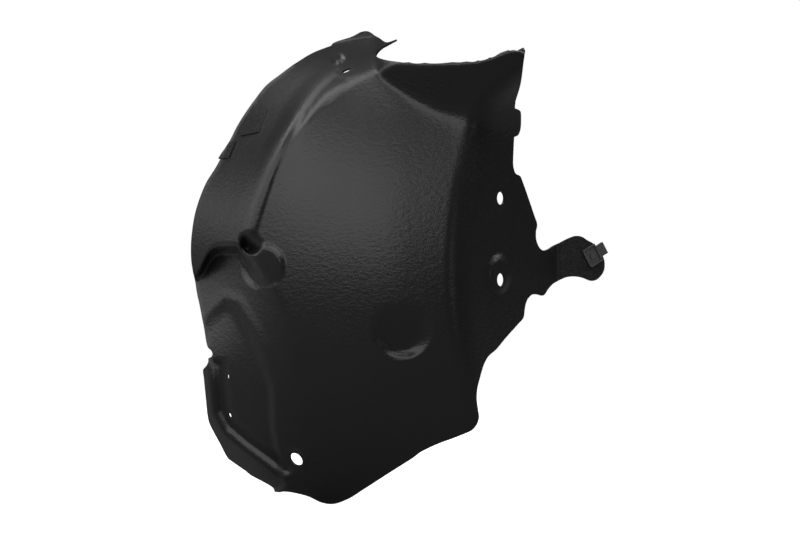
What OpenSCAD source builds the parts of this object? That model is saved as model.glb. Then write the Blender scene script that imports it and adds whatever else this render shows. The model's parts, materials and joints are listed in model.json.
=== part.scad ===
// Front section of a wheel arch liner: one thin moulded shell with a spring nut pushed on its ear.
// Sizes are in millimetres. The shell is described over its moulding plane, x to the right,
// y up and z towards the arch's outer side, and is turned into the car's axes at the end.

/* [Sheet] */
// Thickness of the moulded sheet.
sheet_t = 2.8; // [2.4:0.1:3.4]
// Thickness of the flat pads round the fixing holes.
pad_t = 5.2; // [4.6:0.1:5.8]
// How far the pads stand proud of the sheet's outer side.
pad_proud = 1; // [0.6:0.1:1.2]

/* [Wheel side] */
// Radius of the tunnel the wheel turns in.
tunnel_r = 338; // [334:1:342]
// Height of the bead along the band.
bead_h = 7; // [4:0.5:9]
// Width of the bead's steep flank.
bead_steep_w = 10; // [8:1:14]
// Width of the bead's slow flank.
bead_slow_w = 26; // [20:1:32]
// Height of the small bead inside the collar's foot.
small_bead_h = 3.5; // [2:0.5:5]
// Radius of the round nub at the bead's upper end.
nub_r = 13; // [10:1:15]
// Height of the nub.
nub_h = 12; // [6:1:14]

/* [Inner face] */
// Radius of the dish in the face.
dish_r = 50; // [46:1:56]
// Depth of the dish at its lower wall.
dish_h = 13; // [8:1:16]
// Radius of the round seat by the band's end.
seat_r = 33; // [30:1:35]
// Slope of the round seat.
seat_slope = 0.36; // [0.2:0.02:0.4]
// Height of the boss behind the lower rail hole.
boss_h = 8; // [5:1:10]

/* [Rail flange] */
// Where the flange starts, from the moulding plane's middle.
flange_x = 92; // [86:1:98]
// Slope of the flange.
flange_slope = 1.48; // [1.4:0.02:1.56]
// Softness of the bend into the flange.
flange_bend = 32; // [20:1:36]

/* [Collar] */
// Steepness of the collar round the strut's opening.
collar_slope = 1.25; // [1.1:0.05:1.35]

/* [Lower return] */
// Depth of the step down to the lower panel.
step_h = 8; // [5:1:10]
// Depth of the channel along the lower trim line.
channel_h = 12; // [8:1:14]
// Extra slope of the leg outside the channel.
leg_slope = 1.3; // [1:0.1:1.5]

/* [Fixings] */
// Diameter of the rail holes.
rail_hole_d = 20; // [16:0.5:22]
// Diameter of the bumper bolt's hole.
bumper_hole_d = 22; // [16:0.5:24]
// Diameter of the crest hole.
crest_hole_d = 15; // [10:0.5:16]
// Diameter of the lip clip holes.
lip_hole_d = 8; // [6:0.5:9]
// Diameter of the notch in the lip's edge.
notch_d = 11; // [8:0.5:12]
// Width of the pads' rims round the holes.
pad_rim = 5; // [3:0.5:7]

/* [Ear and spring nut] */
// Thickness of the ear.
ear_t = 3.2; // [2.8:0.1:4]
// Diameter of the ear's screw hole.
ear_hole_d = 9; // [7:0.5:10]
// Side of the spring nut's frame towards the ear's edge.
nut_l = 24; // [20:1:26]
// Side of the spring nut's frame along the ear's edge.
nut_w = 30; // [26:1:32]
// Width of the tongue folded round the ear's edge.
tongue_w = 19; // [14:1:20]
// Thickness of the spring nut's strip.
nut_t = 1.2; // [1:0.1:1.6]
// Gap between the spring nut's leaves and the ear.
nut_gap = 0.2; // [0.1:0.05:0.3]
// Height of the frame round the nut's barrel.
frame_h = 3; // [2:0.5:4]
// Diameter of the spring nut's barrel bore.
nut_bore_d = 5; // [4:0.5:6]

/* [Fineness] */
// Distance between the shell's rows.
row_step = 16; // [15:1:24]
// Number of strips across the shell.
strips = 42; // [24:1:42]

/* [Hidden] */
plastic = [0.07, 0.07, 0.075];
steel = [0.2, 0.2, 0.21];
deepest = -348;

// Trim line on the wheel side, from the horn down to the lower tip.
left_trim = [
    [-164, 313], [-185, 296], [-207, 278], [-225, 253], [-234, 240], [-238, 234], [-249, 215],
    [-255, 202], [-258, 196], [-281, 153], [-289, 140], [-297, 128], [-317, 77], [-321, 62],
    [-323, 46], [-324, 36], [-324, 25], [-321, -6], [-315, -40], [-313, -48], [-310, -59], [-305, -80],
    [-303, -88], [-295, -124], [-293, -135], [-294, -146], [-297, -152], [-303, -159],
    [-301, -180], [-299, -203], [-295, -240], [-287, -253], [-276, -270], [-263, -296],
    [-233, -315], [-193, -336], [-192, -342], [-167, -349], [-141, -354], [-115, -361]
];
// Trim line on the rail side, with the small tab and the ear's root.
right_trim = [
    [184, 325], [182, 299], [180, 270], [174, 248], [174, 238], [182, 233], [183, 215],
    [181, 202], [173, 195], [172, 150], [180, 139], [187, 126], [206, 76], [210, 64],
    [208, 52], [212, 40], [216, 28], [218, -6], [217, -43], [198, -47], [192, -56], [189, -78],
    [182, -87], [148, -122], [135, -131], [127, -144], [124, -151], [121, -159],
    [117, -175], [114, -198], [118, -225], [112, -241], [100, -249], [60, -266],
    [28, -281], [-12, -309], [-24, -317], [-33, -324], [-54, -337], [-77, -351]
];
// Top edge: the horn, its step down and the collar's rim.
top_trim = [
    [-164, 313], [-135, 333], [-105, 349], [-75, 358], [-60, 365], [-47, 368], [-42, 364],
    [-37, 323], [-29, 314], [-6, 307], [36, 303], [77, 302], [98, 303], [132, 308],
    [154, 317], [184, 325]
];
// Rows over which the top edge's shape dies away.
top_rows = 6;

// Lines of the beads, the channel and the step down to the lower panel.
bead_line = [
    [-95, 309], [-126, 276], [-156, 234], [-176, 192], [-194, 144], [-210, 96], [-224, 51]
];
small_bead_line = [[-93, 273], [-114, 260], [-134, 231], [-150, 198], [-156, 174]];
channel_line = [
    [-276, -129], [-269, -219], [-257, -242], [-231, -263], [-195, -288], [-172, -305]
];
step_line = [
    [-330, -104], [-294, -66], [-269, -46], [-245, -54], [-217, -98], [-202, -131],
    [-188, -178], [-186, -247], [-174, -311], [-165, -357]
];
// Line where the band stops over the lower panel.
band_end = [[-330, -21], [-306, -3], [-296, 18], [-282, 30], [-240, 30], [-150, 30]];
// Foot of the collar, and how softly it rises there.
collar_foot = [
    [-60, 315], [-44, 306], [-35, 291], [-17, 276], [15, 255], [46, 239], [70, 231],
    [99, 225], [130, 222], [195, 222]
];
collar_soft = [[-45, 4], [0, 8], [75, 16], [135, 30], [180, 40]];
// Line the inner columns of the shell follow.
column_line = [
    [-340, -182], [-255, -184], [-175, -188], [-60, -222], [51, -224], [96, -210],
    [144, -194], [192, -176], [234, -156], [276, -126], [320, -95]
];

// Fixing points: place on the moulding plane and the way the bolt leaves.
rail_up_at = [152, 103];
rail_low_at = [152, -20];
rail_way = [0.82, 0, 0.5724];
bumper_at = [-157, -292];
bumper_way = [-0.52, -0.457, 0.722];
crest_at = [-82, 298];
crest_way = [-0.4, 0.862, 0.311];
lip_up_at = [-263, -168];
lip_up_way = [-0.86, -0.1, 0.5];
lip_low_at = [-261, -228];
lip_low_way = [-0.75, -0.32, 0.58];
notch_at = [-293, -135];
notch_way = [-0.9, -0.12, 0.42];

// Ear: it leaves the flange in the flange's plane and then leans back.
ear_bend_x = 238;
ear_lean = 21.8;
nut_at = [296.5, 16.5];
nut_turn = 30;
// Distance from the screw hole to the inside of the nut's fold.
fold_at = 25;

function clip(v, a, b) = min(max(v, a), b);
function soft(a, b, v) = let (t = clip((v - a) / (b - a), 0, 1)) t * t * (3 - 2 * t);
function smin(a, b, k) = let (h = clip(0.5 + 0.5 * (b - a) / k, 0, 1))
    b + (a - b) * h - k * h * (1 - h);
function smax(a, b, k) = -smin(-a, -b, k);
function curve(v, line, w) =
    (lookup(v - w, line) + 2 * lookup(v, line) + lookup(v + w, line)) / 4;

// Signed distance from a point to one stretch of a line, positive on its left.
function stretch(p, a, b) = let (
    d = b - a,
    t = clip(((p - a) * d) / (d * d), 0, 1),
    e = p - a - t * d,
    s = d.x * (p.y - a.y) - d.y * (p.x - a.x)
) norm(e) * (s < 0 ? -1 : 1);
function nearer(a, b) = abs(b) < abs(a) ? b : a;
function reach(p, line, i = 0) = let (d = stretch(p, line[i], line[i + 1]))
    i + 2 >= len(line) ? d : nearer(d, reach(p, line, i + 1));

// Tunnel of the wheel: a cylinder on the axle, seen over the moulding plane.
axle = [-0.4226, 0.1261, -0.8975];
axle_at = [-3, 22.5, -372];
function tunnel(p) = let (
    q = [p.x - axle_at.x, p.y - axle_at.y],
    m = q.x * axle.x + q.y * axle.y,
    a = 1 - axle.z * axle.z,
    b = -2 * axle.z * m,
    c = q * q - m * m - tunnel_r * tunnel_r
) axle_at.z + (-b + sqrt(max(b * b - 4 * a * c, 0))) / (2 * a);

// Inner face: a shallow dome, flatter towards the rail.
function dome(p) = let (
    l = min(p.x - 10, 0),
    r = max(p.x - 10, 0),
    t = max(p.y, 0),
    b = min(p.y, 0)
) -l * l / 760 - r * r / 3000 - t * t / 1040 - b * b / 1120;

// Panel below the band, falling away to the lip.
function lower_panel(p) =
    dome([-190, p.y]) - 6 + (1 + 0.8 * soft(-190, 20, p.y)) * (p.x + 190);

// Share of the band over the panel below it.
function band_share(p) = let (
    rise = p.y - curve(p.x, band_end, 6),
    wide = curve(p.x, [[-246, 14], [-207, 80], [-150, 120]], 0),
    plain = soft(-wide, 6, rise)
) plain + (min(plain, clip((p.y - 20) / 34, 0, 1)) - plain)
    * (1 - soft(14, 22, norm(p - [-222, 38])));

function side(p) = let (low = lower_panel(p)) low + (tunnel(p) - low) * band_share(p);

function beads(p) = let (
    d = reach(p, bead_line),
    e = abs(reach(p, small_bead_line)),
    flank = d > 0 ? 1 - soft(0, bead_steep_w, d) : 1 - soft(2, bead_slow_w, -d)
) bead_h * flank * soft(21, 60, p.y) + small_bead_h * (1 - soft(0, 13, e));

// Nub where the bead starts by the crest hole.
function nub(p) = nub_h * (1 - soft(nub_r * 0.35, nub_r, norm(p - [-97, 322])));

// Channel, ridge and leg outside it, cut off square at the lower end.
function lower_return(p) = let (
    d = reach(p, channel_line),
    gate = soft(-138, -150, p.y),
    run = (p.x + 172) * 0.81 - (p.y + 325) * 0.59,
    ridge = channel_h - (channel_h + 3) * soft(0, 14, -d) + leg_slope * max(-d - 14, 0)
) d > 0
    ? -gate * channel_h * (1 - soft(0, 21, d)) * (1 - soft(-6, 12, run))
    : -gate * ridge * (1 - soft(-8, 4, run));

// Step down to the lower panel, with a low lip above it.
function step_down(p) = let (
    d = reach(p, step_line),
    w = lookup(p.y, [[-190, 14], [-120, 26]])
) -step_h * soft(0, w, -d) + 2.5 * (1 - soft(0, 16, abs(d))) * soft(-150, -110, p.y);

function round_seat(p) = let (
    q = p - [-206, 0],
    share = 1 - soft(seat_r - 3, seat_r + 2, norm(q))
) share * (seat_slope * (q.x + q.y) / 1.414 - 0.5);

function face_dish(p) = let (
    inside = dish_r - 30 + 20 * clip((-92 - p.y) / 46, 0, 1),
    share = 1 - soft(inside, dish_r, norm(p - [3, -88.5]))
) -share * dish_h * soft(0, 1, clip((-48 - p.y) / 92, 0, 1));

function hole_boss(p) =
    boss_h * (1 - soft(0.6, 1.15, norm([(p.x - 150) / 17, (p.y + 10) / 29])));

function collar(p) = let (
    d = p.y - curve(p.x, collar_foot, 9),
    b = lookup(p.x, collar_soft)
) collar_slope * (sqrt(d * d + b * b) + d) / 2 * soft(-48, -24, p.x);

// Height of the sheet's outer side over the moulding plane.
function height(p) = let (
    body = smin(dome(p), side(p), 24) + beads(p),
    from = flange_x + 40 * soft(235, 310, p.y),
    bent = smin(body, -9 - flange_slope * (p.x - from), flange_bend),
    full = bent + nub(p) + lower_return(p) + step_down(p) + round_seat(p) + face_dish(p)
        + hole_boss(p) + collar(p)
) smax(full, deepest, 10);
function on_sheet(p) = [p.x, p.y, height(p)];

// Rows: each stretch of the two trim lines is cut into equal steps.
function steps_at(i) = max(1, ceil(max(
    norm(left_trim[i + 1] - left_trim[i]),
    norm(right_trim[i + 1] - right_trim[i])
) / row_step - 0.35));
row_at = [
    for (i = [0 : len(left_trim) - 2])
        let (n = steps_at(i))
            for (k = [0 : n - 1])
                i + k / n,
    len(left_trim) - 1
];
function along(line, t) = let (i = min(floor(t), len(line) - 2))
    line[i] + (line[i + 1] - line[i]) * (t - i);

// Share of the way across at which a column lies, following the bead and the flange.
inner_share = 0.23;
flange_share = 0.76;
function across(a, b, u) = let (
    w = b.x - a.x,
    y = a.y + (b.y - a.y) * 0.3,
    k = clip((lookup(y, column_line) - a.x) / w, 0.12, 0.42),
    f = clip((flange_x - a.x) / w, 0.62, 0.86)
) u < inner_share ? k * u / inner_share
    : u < flange_share ? k + (f - k) * (u - inner_share) / (flange_share - inner_share)
    : f + (1 - f) * (u - flange_share) / (1 - flange_share);
function flat_point(t, u) = let (
    a = along(left_trim, t),
    b = along(right_trim, t),
    s = across(a, b, u),
    p = a + (b - a) * s,
    a0 = left_trim[0],
    b0 = right_trim[0],
    q = a0 + (b0 - a0) * s,
    drop = lookup(q.x, top_trim) - q.y
) p + [0, drop * clip(1 - t / top_rows, 0, 1)];

outer = [
    for (t = row_at)
        [for (j = [0 : strips]) on_sheet(flat_point(t, j / strips))]
];
rows = len(outer);
function way(i, j) = let (
    c = outer[i][min(j + 1, strips)] - outer[i][max(j - 1, 0)],
    r = outer[max(i - 1, 0)][j] - outer[min(i + 1, rows - 1)][j],
    n = cross(c, r)
) n / norm(n);
inner = [
    for (i = [0 : rows - 1])
        [for (j = [0 : strips]) outer[i][j] - sheet_t * way(i, j)]
];

function cell(a, b, c, d) = [[a, b, c], [a, c, d]];
module sheet() {
    wide = strips + 1;
    count = rows * wide;
    points = [for (g = [outer, inner]) for (r = g) for (p = r) p];
    tops = [
        for (i = [0 : rows - 2]) for (j = [0 : strips - 1])
            let (a = i * wide + j)
                for (f = cell(a, a + 1, a + 1 + wide, a + wide)) f
    ];
    unders = [for (f = tops) [f[2] + count, f[1] + count, f[0] + count]];
    last = (rows - 1) * wide;
    walls = [
        for (j = [0 : strips - 1])
            for (f = concat(
                cell(j + 1, j, j + count, j + 1 + count),
                cell(last + j, last + j + 1, last + j + 1 + count, last + j + count)
            )) f,
        for (i = [0 : rows - 2])
            let (a = i * wide, b = i * wide + strips)
                for (f = concat(
                    cell(a, a + wide, a + wide + count, a + count),
                    cell(b + wide, b, b + count, b + wide + count)
                )) f
    ];
    polyhedron(points, concat(tops, unders, walls));
}

// Turns a thing standing on the plane so that its axis leaves the sheet at a fixing point.
module at_point(p, n) {
    tilt = acos(n.z / norm(n));
    turn = atan2(n.y, n.x);
    translate(on_sheet(p))
        rotate([0, 0, turn])
            rotate([0, tilt, 0])
                children();
}

module pad(p, n, d) {
    at_point(p, n)
        translate([0, 0, pad_proud - pad_t])
            cylinder(d = d + 2 * pad_rim, h = pad_t, $fn = 48);
}

module bore(p, n, d) {
    at_point(p, n)
        translate([0, 0, -20])
            cylinder(d = d, h = 40, $fn = 48);
}

// The ear's outline over the moulding plane, from the upper root round to the lower root.
ear_outline = [
    [200, 36], [214, 28.5], [220, 24.5], [227, 26], [237.7, 32.2], [251, 39], [262.8, 44.6],
    [272, 47.3], [281, 46], [289, 41], [299, 35.5], [308.5, 26.5], [312.5, 19], [316, 11],
    [317, 1], [315.5, -7], [311, -14.5], [304, -20.5], [296, -22.3], [283.2, -17.7],
    [270.6, -15.5], [257, -16.5], [246, -21], [234.7, -27.6], [228.5, -34], [220, -44.5],
    [212, -43], [202, -43], [198, -40]
];
// Height of the ear's outer side: the flange's slope, then a bend, then the lean.
function ear_z(x) = let (t = max(x - ear_bend_x, 0))
    -8.6 - flange_slope * (x - flange_x) + (flange_slope - tan(ear_lean)) * t
        * soft(0, 1, (x - ear_bend_x + 12) / 24);
ear_x = [for (x = [196 : 6 : 226]) x, for (x = [230 : 3 : 257]) x, 320];
module ear() {
    difference() {
        intersection() {
            translate([0, 0, -400])
                linear_extrude(400)
                    polygon(ear_outline);
            translate([0, 60, 0])
                rotate([90, 0, 0])
                    linear_extrude(120)
                        polygon(concat(
                            [for (x = ear_x) [x, ear_z(x)]],
                            [for (k = [len(ear_x) - 1 : -1 : 0])
                                let (x = ear_x[k], s = (ear_z(x + 0.5) - ear_z(x - 0.5)))
                                    [x + ear_t * s / sqrt(1 + s * s),
                                        ear_z(x) - ear_t / sqrt(1 + s * s)]]
                        ));
        }
        on_ear()
            translate([0, 0, -ear_t - 1])
                cylinder(d = ear_hole_d, h = ear_t + 2, $fn = 48);
    }
}

// Places a thing at the screw hole, standing on the ear's outer side.
module on_ear() {
    translate([nut_at.x, nut_at.y, ear_z(nut_at.x)])
        rotate([0, ear_lean, 0])
            children();
}

// Pointed end of the collar's rim behind the horn.
sliver = [[-38, 322], [-31, 333], [-10, 341]];
module rim_end() {
    hull()
        for (q = sliver)
            translate(on_sheet(q) - [0, 0, sheet_t / 2])
                sphere(d = sheet_t, $fn = 14);
}

module liner() {
    color(plastic)
        difference() {
            union() {
                sheet();
                ear();
                rim_end();
                pad(rail_up_at, rail_way, rail_hole_d);
                pad(rail_low_at, rail_way, rail_hole_d);
                pad(bumper_at, bumper_way, bumper_hole_d);
                pad(crest_at, crest_way, crest_hole_d);
                pad(lip_up_at, lip_up_way, lip_hole_d);
                pad(lip_low_at, lip_low_way, lip_hole_d);
            }
            bore(rail_up_at, rail_way, rail_hole_d);
            bore(rail_low_at, rail_way, rail_hole_d);
            bore(bumper_at, bumper_way, bumper_hole_d);
            bore(crest_at, crest_way, crest_hole_d);
            bore(lip_up_at, lip_up_way, lip_hole_d);
            bore(lip_low_at, lip_low_way, lip_hole_d);
            bore(notch_at, notch_way, notch_d);
        }
}

// Spring nut: a strip folded round the ear's edge, its upper leaf framed round a drawn barrel.
module nut_leaf(low, high, w, at) {
    translate([low, -w / 2, at])
        cube([high - low, w, nut_t]);
}

module spring_nut() {
    top = nut_gap + nut_t;
    under = -ear_t - nut_gap - nut_t;
    color(steel)
        on_ear()
            rotate([0, 0, nut_turn])
                difference() {
                    union() {
                        nut_leaf(-nut_l / 2, nut_l / 2, nut_w, nut_gap);
                        nut_leaf(0, fold_at + nut_t, tongue_w, nut_gap);
                        nut_leaf(-nut_l / 2, fold_at + nut_t, tongue_w, under);
                        translate([fold_at, -tongue_w / 2, under])
                            cube([nut_t, tongue_w, top - under]);
                        difference() {
                            translate([-nut_l / 2, -nut_w / 2, top - 0.1])
                                cube([nut_l, nut_w, frame_h + 0.1]);
                            translate([nut_t * 2 - nut_l / 2, nut_t * 2 - nut_w / 2, top])
                                cube([nut_l - nut_t * 4, nut_w - nut_t * 4, frame_h + 1]);
                        }
                        cylinder(d = nut_bore_d + 4, h = top + frame_h, $fn = 48);
                    }
                    translate([0, 0, under - 1])
                        cylinder(d = nut_bore_d, h = top + frame_h - under + 2, $fn = 48);
                }
}

// Car axes: x rearwards, y outboard, z up, from the upper rail hole.
module in_car() {
    rotate([82, 0, -25])
        translate(-on_sheet(rail_up_at))
            children();
}

in_car() liner();
in_car() spring_nut();
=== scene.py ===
"""Looks of the front section of a wheel arch liner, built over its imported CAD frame."""

from __future__ import annotations

import json
import logging
import math
from dataclasses import astuple, dataclass, field
from enum import Enum
from typing import Mapping, Sequence

import bmesh
import bpy
import numpy as np
from bpy.types import Material, Node, NodeSocket, NodeTree, Object
from mathutils import Matrix, Vector
from mathutils.geometry import delaunay_2d_cdt

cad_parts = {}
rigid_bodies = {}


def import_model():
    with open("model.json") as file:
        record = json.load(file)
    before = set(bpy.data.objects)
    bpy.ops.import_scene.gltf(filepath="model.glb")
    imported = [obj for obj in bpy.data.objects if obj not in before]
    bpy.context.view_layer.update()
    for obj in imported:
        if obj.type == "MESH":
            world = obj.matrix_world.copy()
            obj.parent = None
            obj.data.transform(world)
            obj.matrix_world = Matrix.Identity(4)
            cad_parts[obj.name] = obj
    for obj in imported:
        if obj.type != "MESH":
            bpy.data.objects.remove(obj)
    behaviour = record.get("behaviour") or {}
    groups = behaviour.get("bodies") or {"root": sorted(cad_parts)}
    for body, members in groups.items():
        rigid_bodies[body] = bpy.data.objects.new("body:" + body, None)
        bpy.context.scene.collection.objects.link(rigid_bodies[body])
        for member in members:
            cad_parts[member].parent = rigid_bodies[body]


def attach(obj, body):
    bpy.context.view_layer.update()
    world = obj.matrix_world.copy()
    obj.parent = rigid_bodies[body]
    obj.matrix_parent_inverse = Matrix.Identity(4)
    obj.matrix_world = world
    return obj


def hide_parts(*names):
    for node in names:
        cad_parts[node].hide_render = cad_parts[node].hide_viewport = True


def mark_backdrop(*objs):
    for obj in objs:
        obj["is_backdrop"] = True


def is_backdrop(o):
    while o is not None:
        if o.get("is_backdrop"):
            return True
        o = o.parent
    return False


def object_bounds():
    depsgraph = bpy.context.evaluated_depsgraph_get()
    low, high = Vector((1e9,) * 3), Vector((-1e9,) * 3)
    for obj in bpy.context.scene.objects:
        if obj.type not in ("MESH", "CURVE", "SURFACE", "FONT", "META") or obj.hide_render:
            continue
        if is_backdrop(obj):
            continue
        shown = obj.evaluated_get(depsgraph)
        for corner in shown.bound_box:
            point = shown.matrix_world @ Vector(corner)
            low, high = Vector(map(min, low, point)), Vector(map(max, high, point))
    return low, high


log = logging.getLogger("liner")
Array = np.ndarray
Pair = tuple[float, float]
Triple = tuple[float, float, float]
Points = Sequence[Pair]
Inputs = Mapping[str | int, object]
MM = 0.001
FAR = 1e9
DIAGONAL = 1.414
ROW_PITCH = 0.866
MERGE = 1e-4


class Part(Enum):
    """Names of the CAD nodes that the pieces stand for."""

    LINER = "liner"
    NUT = "spring_nut"


class Slot(Enum):
    """Material slots of the record."""

    MOULDING = "moulding"
    STEEL = "spring_steel"


def soft(low: float | Array, high: float | Array, value: Array) -> Array:
    """Smooth step from 0 at low to 1 at high."""
    t = np.clip((value - low) / (high - low), 0.0, 1.0)
    return t * t * (3.0 - 2.0 * t)


def soft_min(a: Array, b: Array, width: float) -> Array:
    """Lower of two heights, blended where they are closer than width."""
    h = np.clip(0.5 + 0.5 * (b - a) / width, 0.0, 1.0)
    return b + (a - b) * h - width * h * (1.0 - h)


def curve(value: Array, line: Points, width: float = 0.0) -> Array:
    """Height of a line through points, smoothed over width.

    Args:
        value: places along the line.
        line: points with rising first coordinate.
        width: half the distance over which corners are rounded.

    Returns:
        The line's second coordinate at each place.
    """
    at = [p[0] for p in line]
    to = [p[1] for p in line]
    middle = np.interp(value, at, to)
    if width == 0.0:
        return middle
    before, after = np.interp(value - width, at, to), np.interp(value + width, at, to)
    return (before + 2.0 * middle + after) / 4.0


def reach(x: Array, y: Array, line: Points) -> Array:
    """Signed distance to a line through points, positive on its left.

    Args:
        x: places across.
        y: places up.
        line: the line's points in order.

    Returns:
        The distance of each place, negative on the line's right.
    """
    best = np.full(np.shape(x), FAR)
    for (ax, ay), (bx, by) in zip(line[:-1], line[1:]):
        dx, dy = bx - ax, by - ay
        t = np.clip(((x - ax) * dx + (y - ay) * dy) / (dx * dx + dy * dy), 0.0, 1.0)
        distance = np.hypot(x - ax - t * dx, y - ay - t * dy)
        sign = np.where(dx * (y - ay) - dy * (x - ax) < 0.0, -1.0, 1.0)
        best = np.where(distance < np.abs(best), distance * sign, best)
    return best


@dataclass(frozen=True)
class MouldingPlane:
    """Turns places over the moulding plane, in millimetres, into the row frame, in metres."""

    origin: Triple = (152.0, 103.0, -94.862)
    tilt: float = 82.0
    turn: float = -25.0

    def matrix(self) -> Matrix:
        """Matrix from the moulding plane in millimetres to the row frame in metres.

        Returns:
            The matrix, which also scales by 0.001.
        """
        turn = Matrix.Rotation(math.radians(self.turn), 4, "Z")
        tilt = Matrix.Rotation(math.radians(self.tilt), 4, "X")
        return Matrix.Scale(MM, 4) @ (turn @ tilt) @ Matrix.Translation(-Vector(self.origin))

    def place(self, points: Array) -> Array:
        """Points of the moulding plane as points of the row frame."""
        m = np.array(self.matrix())
        return points @ m[:3, :3].T + m[:3, 3]


@dataclass(frozen=True)
class Fixing:
    """A round hole through a flat pad of the sheet, in millimetres.

    The pad lies square to way and stands proud of the sheet. It reaches past the hole by rim, and
    blends into the sheet over blend.
    """

    name: str
    at: Pair
    way: Triple
    radius: float
    proud: float = 0.4
    rim: float = 5.0
    blend: float = 5.0


@dataclass(frozen=True)
class Trim:
    """Runs of the trim line over the moulding plane, in millimetres, in order round the sheet.

    Each run is smooth and ends in a corner at the next one's first point.
    """

    left: Points = (
        (-166, 315.5), (-187, 299), (-209, 281), (-227.5, 256), (-237, 242), (-252, 217), (-261, 198),
        (-283.5, 154.5), (-300, 129), (-312.5, 98.5), (-318.5, 77), (-323, 46), (-324, 25), (-323, 6),
        (-321, -6), (-315, -40), (-310, -59), (-303, -88), (-295, -124),
    )
    notch: Points = ((-290, -128.5), (-287.5, -134), (-289.5, -138.5), (-294, -141))
    lower: Points = (
        (-294, -146), (-297, -152), (-303, -159), (-302, -170), (-301, -180), (-299, -203), (-295, -240),
        (-289, -253), (-279, -272), (-266, -297.5), (-258, -303), (-236, -317.5), (-231, -321.5),
        (-195, -340),
    )
    tip: Points = ((-192.5, -346),)
    foot: Points = (
        (-177, -343.5), (-168, -343.5), (-141, -349), (-118, -359), (-101, -360.5), (-78, -352),
        (-55, -337), (-13, -309), (20, -287.5), (31, -279), (59, -265.5), (79, -258), (96.5, -251),
        (108, -245.5), (115.5, -236.5), (118.5, -226), (117, -214), (115, -198), (116, -182), (119, -170),
        (126, -147), (133, -135), (145, -125), (160, -108), (180, -87), (188, -78), (190, -66),
        (192, -56),
    )
    ear: Points = (
        (195, -49), (202, -43), (212, -43), (220, -44.5), (228.5, -34), (234.7, -27.6), (246, -21),
        (257, -16.5), (270.6, -15.5), (283.2, -17.7), (296, -22.3), (304, -20.5), (311, -14.5),
        (315.5, -7), (317, 1), (316, 11), (312.5, 19), (308.5, 26.5), (299, 35.5), (289, 41), (281, 46),
        (272, 47.3), (262.8, 44.6), (251, 39), (237.7, 32.2), (227, 26), (220, 24.5), (214, 28.5),
        (208.5, 41),
    )
    rail: Points = (
        (208, 54), (210, 64), (205, 79), (196, 104), (187, 128), (183, 137), (180, 139), (176, 140.5),
        (172, 151), (172, 175),
    )
    tab: Points = (
        (173, 196), (179, 199), (182.5, 207), (183.5, 219), (182, 235), (178, 237), (174, 238),
    )
    upper: Points = ((174, 249), (180, 271), (183, 299), (185, 323))
    rim: Points = (
        (183, 327.5), (170, 322), (154, 317), (132, 308.5), (115, 304.5), (98, 303), (77, 302.3),
        (36, 302.3), (12, 304), (-6, 307), (-20, 310.5), (-29, 314.5), (-35, 319), (-37.5, 323.5),
        (-33, 330), (-20, 338),
    )
    sliver: Points = ((-5, 346.5), (-21, 342.5))
    horn: Points = ((-34, 356), (-41, 364), (-50, 369.5), (-60, 369), (-75, 361.5), (-105, 351))
    step: Points = ((-108, 346.5), (-137, 334.5))


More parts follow.
